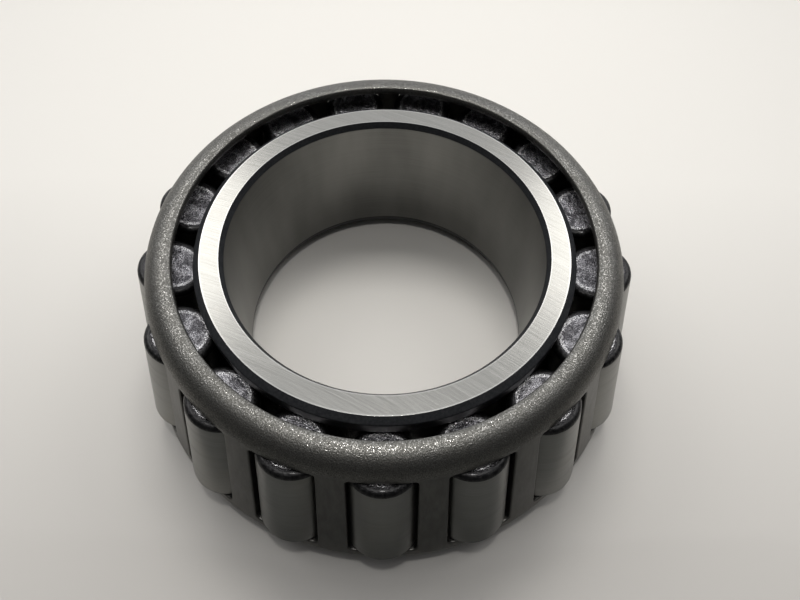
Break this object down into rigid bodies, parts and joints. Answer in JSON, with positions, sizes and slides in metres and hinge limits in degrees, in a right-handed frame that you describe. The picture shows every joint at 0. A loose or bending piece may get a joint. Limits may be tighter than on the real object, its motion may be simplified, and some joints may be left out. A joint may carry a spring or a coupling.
{
  "type": "tapered roller bearing cone",
  "caption": "Inner half of a tapered roller bearing: a ground steel cone with tapered rollers held in a pressed-steel cage that turns around it.",
  "frame": {"origin": "on the bore axis, in the plane of the cone's wide back face, on which the bearing stands", "axes": "+Z along the bore axis towards the narrow front face; -Y through the first roller"},
  "size_m": [0.114, 0.1135, 0.0405],
  "materials": {
    "ring_steel": "ground bearing steel, bright face, darker satin bore",
    "roller_steel": "fine ground and honed bearing steel, rough small ends",
    "cage_steel": "tumbled pressed steel sheet, satin grey with an oily film"
  },
  "bodies": {
    "inner_ring": {"inner_ring": "ring_steel"},
    "cage": {"cage": "cage_steel"},
    "roller_01": {"roller_01": "roller_steel"},
    "roller_02": {"roller_02": "roller_steel"},
    "roller_03": {"roller_03": "roller_steel"},
    "roller_04": {"roller_04": "roller_steel"},
    "roller_05": {"roller_05": "roller_steel"},
    "roller_06": {"roller_06": "roller_steel"},
    "roller_07": {"roller_07": "roller_steel"},
    "roller_08": {"roller_08": "roller_steel"},
    "roller_09": {"roller_09": "roller_steel"},
    "roller_10": {"roller_10": "roller_steel"},
    "roller_11": {"roller_11": "roller_steel"},
    "roller_12": {"roller_12": "roller_steel"},
    "roller_13": {"roller_13": "roller_steel"},
    "roller_14": {"roller_14": "roller_steel"},
    "roller_15": {"roller_15": "roller_steel"},
    "roller_16": {"roller_16": "roller_steel"},
    "roller_17": {"roller_17": "roller_steel"}
  },
  "joints": [
    {"name": "cage_spin", "type": "hinge", "parent": "inner_ring", "child": "cage", "pos_m": [0, 0, 0], "axis": [0, 0, 1], "continuous": true},
    {"name": "roller_01_spin", "type": "hinge", "parent": "cage", "child": "roller_01", "pos_m": [0, -0.04716, 0.02035], "axis": [0, 0.1905, 0.9817], "continuous": true},
    {"name": "roller_02_spin", "type": "hinge", "parent": "cage", "child": "roller_02", "pos_m": [0.01704, -0.04398, 0.02035], "axis": [-0.0688, 0.1776, 0.9817], "continuous": true},
    {"name": "roller_03_spin", "type": "hinge", "parent": "cage", "child": "roller_03", "pos_m": [0.03177, -0.03485, 0.02035], "axis": [-0.1283, 0.1408, 0.9817], "continuous": true},
    {"name": "roller_04_spin", "type": "hinge", "parent": "cage", "child": "roller_04", "pos_m": [0.04222, -0.02102, 0.02035], "axis": [-0.1705, 0.0849, 0.9817], "continuous": true},
    {"name": "roller_05_spin", "type": "hinge", "parent": "cage", "child": "roller_05", "pos_m": [0.04696, -0.00435, 0.02035], "axis": [-0.1897, 0.0176, 0.9817], "continuous": true},
    {"name": "roller_06_spin", "type": "hinge", "parent": "cage", "child": "roller_06", "pos_m": [0.04536, 0.01291, 0.02035], "axis": [-0.1832, -0.0521, 0.9817], "continuous": true},
    {"name": "roller_07_spin", "type": "hinge", "parent": "cage", "child": "roller_07", "pos_m": [0.03764, 0.02842, 0.02035], "axis": [-0.152, -0.1148, 0.9817], "continuous": true},
    {"name": "roller_08_spin", "type": "hinge", "parent": "cage", "child": "roller_08", "pos_m": [0.02483, 0.0401, 0.02035], "axis": [-0.1003, -0.162, 0.9817], "continuous": true},
    {"name": "roller_09_spin", "type": "hinge", "parent": "cage", "child": "roller_09", "pos_m": [0.00867, 0.04636, 0.02035], "axis": [-0.035, -0.1872, 0.9817], "continuous": true},
    {"name": "roller_10_spin", "type": "hinge", "parent": "cage", "child": "roller_10", "pos_m": [-0.00867, 0.04636, 0.02035], "axis": [0.035, -0.1872, 0.9817], "continuous": true},
    {"name": "roller_11_spin", "type": "hinge", "parent": "cage", "child": "roller_11", "pos_m": [-0.02483, 0.0401, 0.02035], "axis": [0.1003, -0.162, 0.9817], "continuous": true},
    {"name": "roller_12_spin", "type": "hinge", "parent": "cage", "child": "roller_12", "pos_m": [-0.03764, 0.02842, 0.02035], "axis": [0.152, -0.1148, 0.9817], "continuous": true},
    {"name": "roller_13_spin", "type": "hinge", "parent": "cage", "child": "roller_13", "pos_m": [-0.04536, 0.01291, 0.02035], "axis": [0.1832, -0.0521, 0.9817], "continuous": true},
    {"name": "roller_14_spin", "type": "hinge", "parent": "cage", "child": "roller_14", "pos_m": [-0.04696, -0.00435, 0.02035], "axis": [0.1897, 0.0176, 0.9817], "continuous": true},
    {"name": "roller_15_spin", "type": "hinge", "parent": "cage", "child": "roller_15", "pos_m": [-0.04222, -0.02102, 0.02035], "axis": [0.1705, 0.0849, 0.9817], "continuous": true},
    {"name": "roller_16_spin", "type": "hinge", "parent": "cage", "child": "roller_16", "pos_m": [-0.03177, -0.03485, 0.02035], "axis": [0.1283, 0.1408, 0.9817], "continuous": true},
    {"name": "roller_17_spin", "type": "hinge", "parent": "cage", "child": "roller_17", "pos_m": [-0.01704, -0.04398, 0.02035], "axis": [0.0688, 0.1776, 0.9817], "continuous": true}
  ],
  "couplings": [
    {"joint": "roller_01_spin", "follows": "cage_spin", "ratio": 5.4785},
    {"joint": "roller_02_spin", "follows": "cage_spin", "ratio": 5.4785},
    {"joint": "roller_03_spin", "follows": "cage_spin", "ratio": 5.4785},
    {"joint": "roller_04_spin", "follows": "cage_spin", "ratio": 5.4785},
    {"joint": "roller_05_spin", "follows": "cage_spin", "ratio": 5.4785},
    {"joint": "roller_06_spin", "follows": "cage_spin", "ratio": 5.4785},
    {"joint": "roller_07_spin", "follows": "cage_spin", "ratio": 5.4785},
    {"joint": "roller_08_spin", "follows": "cage_spin", "ratio": 5.4785},
    {"joint": "roller_09_spin", "follows": "cage_spin", "ratio": 5.4785},
    {"joint": "roller_10_spin", "follows": "cage_spin", "ratio": 5.4785},
    {"joint": "roller_11_spin", "follows": "cage_spin", "ratio": 5.4785},
    {"joint": "roller_12_spin", "follows": "cage_spin", "ratio": 5.4785},
    {"joint": "roller_13_spin", "follows": "cage_spin", "ratio": 5.4785},
    {"joint": "roller_14_spin", "follows": "cage_spin", "ratio": 5.4785},
    {"joint": "roller_15_spin", "follows": "cage_spin", "ratio": 5.4785},
    {"joint": "roller_16_spin", "follows": "cage_spin", "ratio": 5.4785},
    {"joint": "roller_17_spin", "follows": "cage_spin", "ratio": 5.4785}
  ]
}
